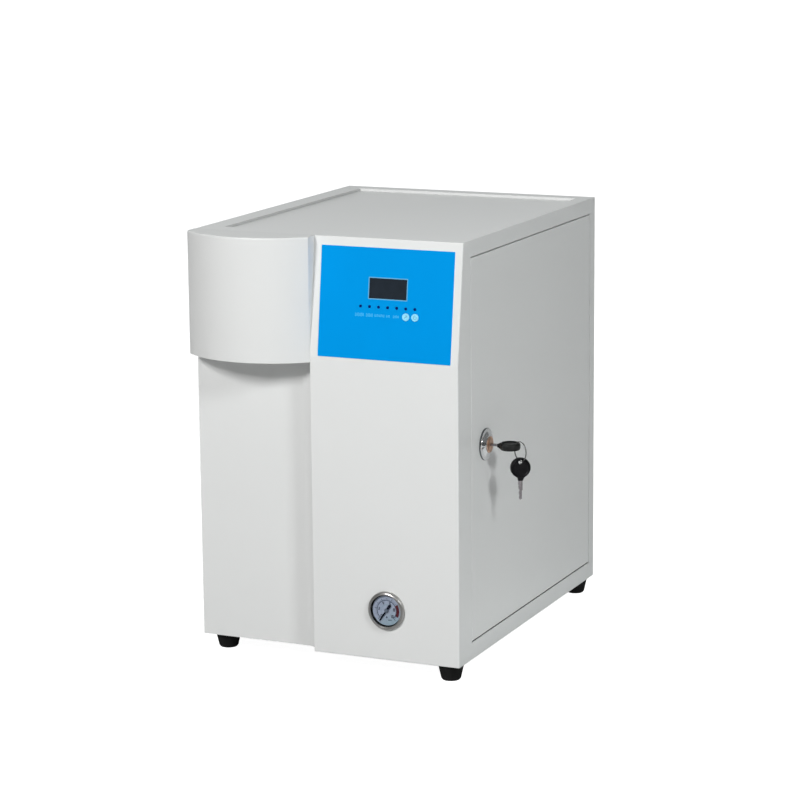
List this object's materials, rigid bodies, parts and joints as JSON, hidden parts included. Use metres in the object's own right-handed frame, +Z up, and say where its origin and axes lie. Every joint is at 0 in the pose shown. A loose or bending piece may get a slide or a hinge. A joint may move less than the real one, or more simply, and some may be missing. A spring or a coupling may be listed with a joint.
{
  "type": "benchtop ultrapure water system",
  "caption": "White benchtop water purifier with a bowed dispensing hood, a leaning control panel, a front pressure gauge and a locking side service door.",
  "frame": {"origin": "on the bench, under the middle of the overall outline", "axes": "+Z up, the control panel and dispensing hood face -Y, the service door is on the +X side"},
  "size_m": [0.4213, 0.517, 0.54],
  "materials": {
    "shell_paint": "satin white powder coat",
    "jamb_grey": "dark grey enamel",
    "hood_white": "white, slightly glossy",
    "zinc_steel": "zinc-plated",
    "chrome": "polished",
    "brass": "machined",
    "bright_steel": "nickel-plated",
    "black_plastic": "moulded",
    "black_rubber": "matt",
    "blue_film": "printed film",
    "smoked_window": "clear over dark",
    "pale_key": "pale blue caps",
    "lamp_navy": "unlit lamps",
    "board_green": "solder mask",
    "dial_face": "pale printed dial",
    "needle_black": "black",
    "clear_lens": "clear",
    "gauge_black": "black",
    "white_plastic": "moulded",
    "fitting_white": "moulded",
    "tube_plastic": "polyethylene tube",
    "pump_black": "motor enamel",
    "rotor_steel": "laminated steel"
  },
  "bodies": {
    "cabinet": {"base_pan": "zinc_steel", "board_standoffs": "zinc_steel", "booster_pump": "pump_black", "bulkhead_fittings": "fitting_white", "carbon_filter": "white_plastic", "control_board": "board_green", "control_overlay": "blue_film", "deionizing_column": "white_plastic", "dispense_hood": "hood_white", "dispense_nozzle": "white_plastic", "display_window": "smoked_window", "door_bumpers": "black_rubber", "door_jamb": "jamb_grey", "filter_heads": "white_plastic", "foot_screws": "zinc_steel", "gauge_bezel": "chrome", "gauge_case": "gauge_black", "gauge_clamp": "zinc_steel", "gauge_dial": "dial_face", "gauge_lens": "clear_lens", "gauge_movement": "brass", "gauge_seal": "black_rubber", "hinge_pins": "zinc_steel", "hood_bottom_plate": "hood_white", "indicator_lamps": "lamp_navy", "inlet_pins": "chrome", "inner_mounting_plate": "zinc_steel", "left_side_panel": "shell_paint", "membrane_housing": "white_plastic", "polishing_column": "white_plastic", "power_entry": "black_plastic", "power_supply": "zinc_steel", "rear_panel": "shell_paint", "rear_panel_screws": "zinc_steel", "recess_panel": "shell_paint", "retaining_clips": "white_plastic", "right_shell": "shell_paint", "rubber_feet": "black_rubber", "sediment_filter": "white_plastic", "solenoid_valves": "white_plastic", "top_panel": "shell_paint", "top_rim": "shell_paint", "water_tubes": "tube_plastic"},
    "door": {"side_door": "shell_paint", "lock_rosette": "chrome", "lock_housing": "brass", "lock_nut": "chrome"},
    "lock": {"lock_plug": "brass", "lock_cam": "bright_steel", "cam_screw": "chrome"},
    "key": {"key_head": "black_plastic", "key_blade": "bright_steel"},
    "ring": {"key_ring": "bright_steel"},
    "spare_key": {"spare_key_head": "black_plastic", "spare_key_blade": "bright_steel"},
    "needle": {"gauge_needle": "needle_black"},
    "left_button": {"button_left": "pale_key"},
    "right_button": {"button_right": "pale_key"},
    "rocker": {"power_rocker": "black_plastic"},
    "rotor": {"pump_rotor": "rotor_steel"}
  },
  "joints": [
    {"name": "door_hinge", "type": "hinge", "parent": "cabinet", "child": "door", "pos_m": [0.1463, 0.2165, 0.281], "axis": [0, 0, 1], "range_deg": [0, 105]},
    {"name": "lock_turn", "type": "hinge", "parent": "door", "child": "lock", "pos_m": [0.1503, -0.1402, 0.2825], "axis": [-1, 0, 0], "range_deg": [0, 90]},
    {"name": "key_slide", "type": "slide", "parent": "lock", "child": "key", "axis": [1, 0, 0], "range_m": [-0.0083, 0.014]},
    {"name": "ring_swing", "type": "hinge", "parent": "key", "child": "ring", "pos_m": [0.1903, -0.1402, 0.2825], "axis": [0, 0, 1], "range_deg": [-25, 60]},
    {"name": "spare_key_swing", "type": "hinge", "parent": "ring", "child": "spare_key", "pos_m": [0.19857, -0.14577, 0.2653], "axis": [0.5446, -0.8387, 0], "range_deg": [-40, 40]},
    {"name": "needle_turn", "type": "hinge", "parent": "cabinet", "child": "needle", "pos_m": [0.0541, -0.2255, 0.0833], "axis": [0, 1, 0], "range_deg": [0, 270], "stiffness_Nm_per_rad": 0.0002, "springref_deg": -17.19},
    {"name": "left_button_press", "type": "slide", "parent": "cabinet", "child": "left_button", "axis": [0, 0.9922, -0.125], "range_m": [0, 0.0008], "stiffness_N_per_m": 400, "springref_m": -0.0005},
    {"name": "right_button_press", "type": "slide", "parent": "cabinet", "child": "right_button", "axis": [0, 0.9922, -0.125], "range_m": [0, 0.0008], "stiffness_N_per_m": 400, "springref_m": -0.0005},
    {"name": "power_rocker_tilt", "type": "hinge", "parent": "cabinet", "child": "rocker", "pos_m": [0.0803, 0.2435, 0.123], "axis": [-1, 0, 0], "range_deg": [0, 16]},
    {"name": "pump_rotor_spin", "type": "hinge", "parent": "cabinet", "child": "rotor", "pos_m": [-0.0847, 0.1545, 0.082], "axis": [0, 1, 0], "continuous": true}
  ]
}
